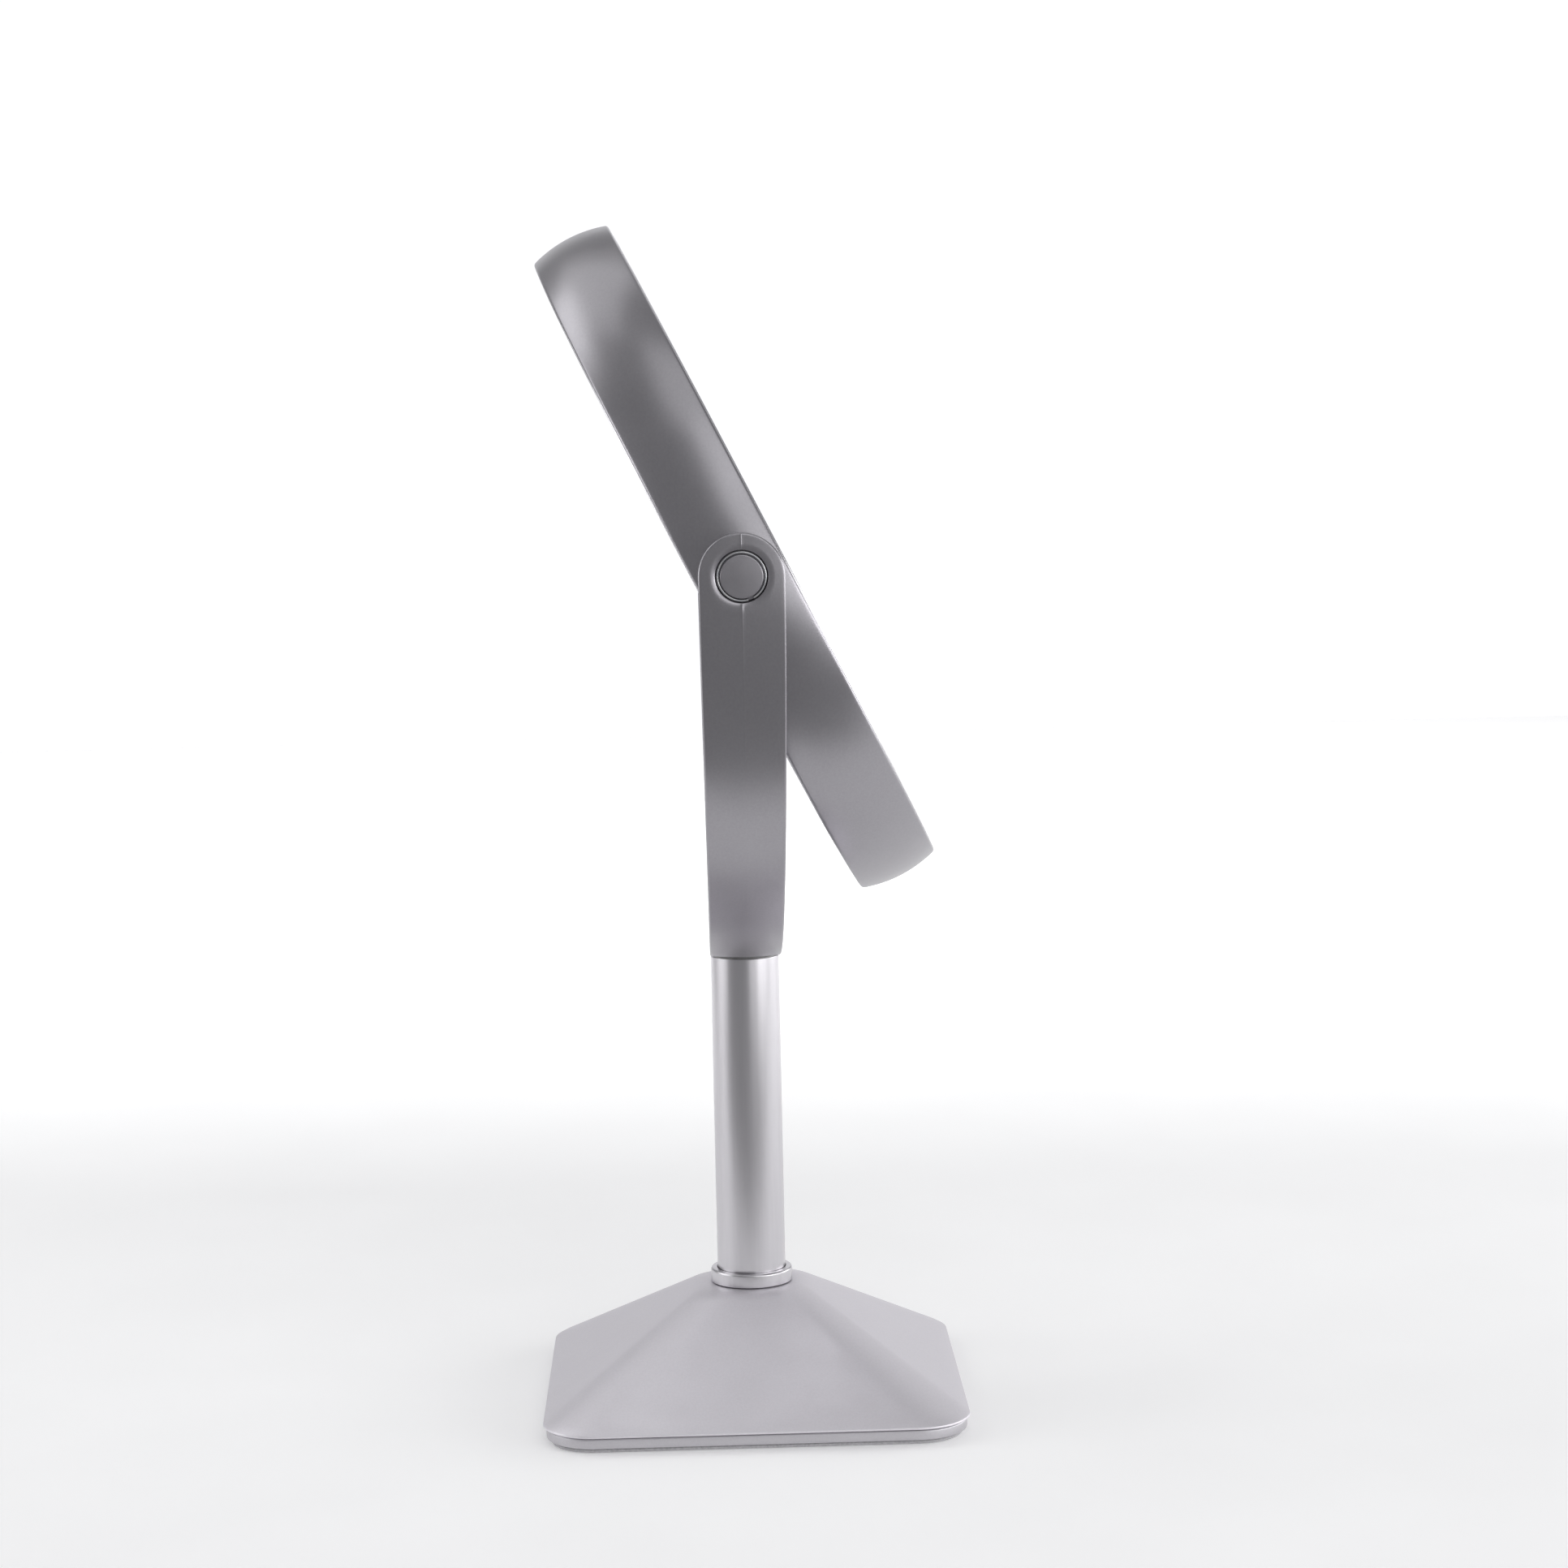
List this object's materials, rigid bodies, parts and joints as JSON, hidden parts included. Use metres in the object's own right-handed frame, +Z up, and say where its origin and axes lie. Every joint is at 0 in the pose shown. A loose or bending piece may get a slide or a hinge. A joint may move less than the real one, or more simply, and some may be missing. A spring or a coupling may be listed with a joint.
{
  "type": "extendable shaving mirror",
  "caption": "Free-standing extendable shaving mirror: a round two-sided head that tilts in a half-ring yoke, on a telescopic swivelling tube with a weighted square base.",
  "frame": {"origin": "middle of the underside of the base, on the surface that the mirror stands on", "axes": "+Z up along the column; X along the head's pivot axis; -Y the way the plain mirror faces, leaning back to look upwards"},
  "size_m": [0.2268, 0.1192, 0.3368],
  "materials": {
    "silver_paint": "satin",
    "cover_paint": "satin",
    "satin_chrome": "satin",
    "polished_chrome": "polished",
    "plated_plastic": "gloss",
    "mirror_glass": "polished",
    "zinc_steel": "satin",
    "cast_iron": "matte",
    "brass": "satin",
    "white_nylon": "matte",
    "black_plastic": "matte",
    "grey_foam": "matte",
    "black_rubber": "matte"
  },
  "bodies": {
    "base": {"base_pad": "grey_foam", "bottom_pan": "cover_paint", "base_cover": "cover_paint", "base_screw_1": "zinc_steel", "base_screw_2": "zinc_steel", "base_screw_3": "zinc_steel", "base_screw_4": "zinc_steel", "ballast_weight": "cast_iron", "anchor_washer": "zinc_steel", "anchor_bolt": "zinc_steel", "outer_tube": "satin_chrome", "foot_plug": "zinc_steel", "foot_collar": "satin_chrome", "guide_bush": "white_nylon"},
    "carriage": {"slider": "white_nylon", "grip_ring": "black_rubber", "slider_screw": "zinc_steel"},
    "mast": {"inner_tube": "polished_chrome", "lower_insert": "brass", "upper_insert": "brass", "yoke": "silver_paint", "yoke_screw": "polished_chrome", "friction_washer_left": "white_nylon", "pivot_cap_left": "satin_chrome", "pivot_clip_left": "zinc_steel", "friction_washer_right": "white_nylon", "pivot_cap_right": "satin_chrome", "pivot_clip_right": "zinc_steel"},
    "head": {"head_rim": "silver_paint", "front_bezel": "plated_plastic", "rear_bezel": "plated_plastic", "plain_mirror": "mirror_glass", "magnifying_mirror": "mirror_glass", "core_plate": "black_plastic", "retainer_ring": "black_plastic", "plain_mirror_foam": "grey_foam", "magnifier_tape": "grey_foam", "core_screw_1": "zinc_steel", "core_screw_2": "zinc_steel", "core_screw_3": "zinc_steel", "core_screw_4": "zinc_steel", "pivot_hub_left": "satin_chrome", "hub_nut_left": "zinc_steel", "spring_washer_left": "zinc_steel", "pivot_screw_left": "zinc_steel", "pivot_hub_right": "satin_chrome", "hub_nut_right": "zinc_steel", "spring_washer_right": "zinc_steel", "pivot_screw_right": "zinc_steel"}
  },
  "joints": [
    {"name": "height", "type": "slide", "parent": "base", "child": "carriage", "axis": [0, 0, 1], "range_m": [0, 0.076]},
    {"name": "swivel", "type": "hinge", "parent": "carriage", "child": "mast", "pos_m": [0, 0, 0.037], "axis": [0, 0, 1], "continuous": true},
    {"name": "tilt", "type": "hinge", "parent": "mast", "child": "head", "pos_m": [0, 0, 0.2424], "axis": [1, 0, 0], "continuous": true}
  ]
}
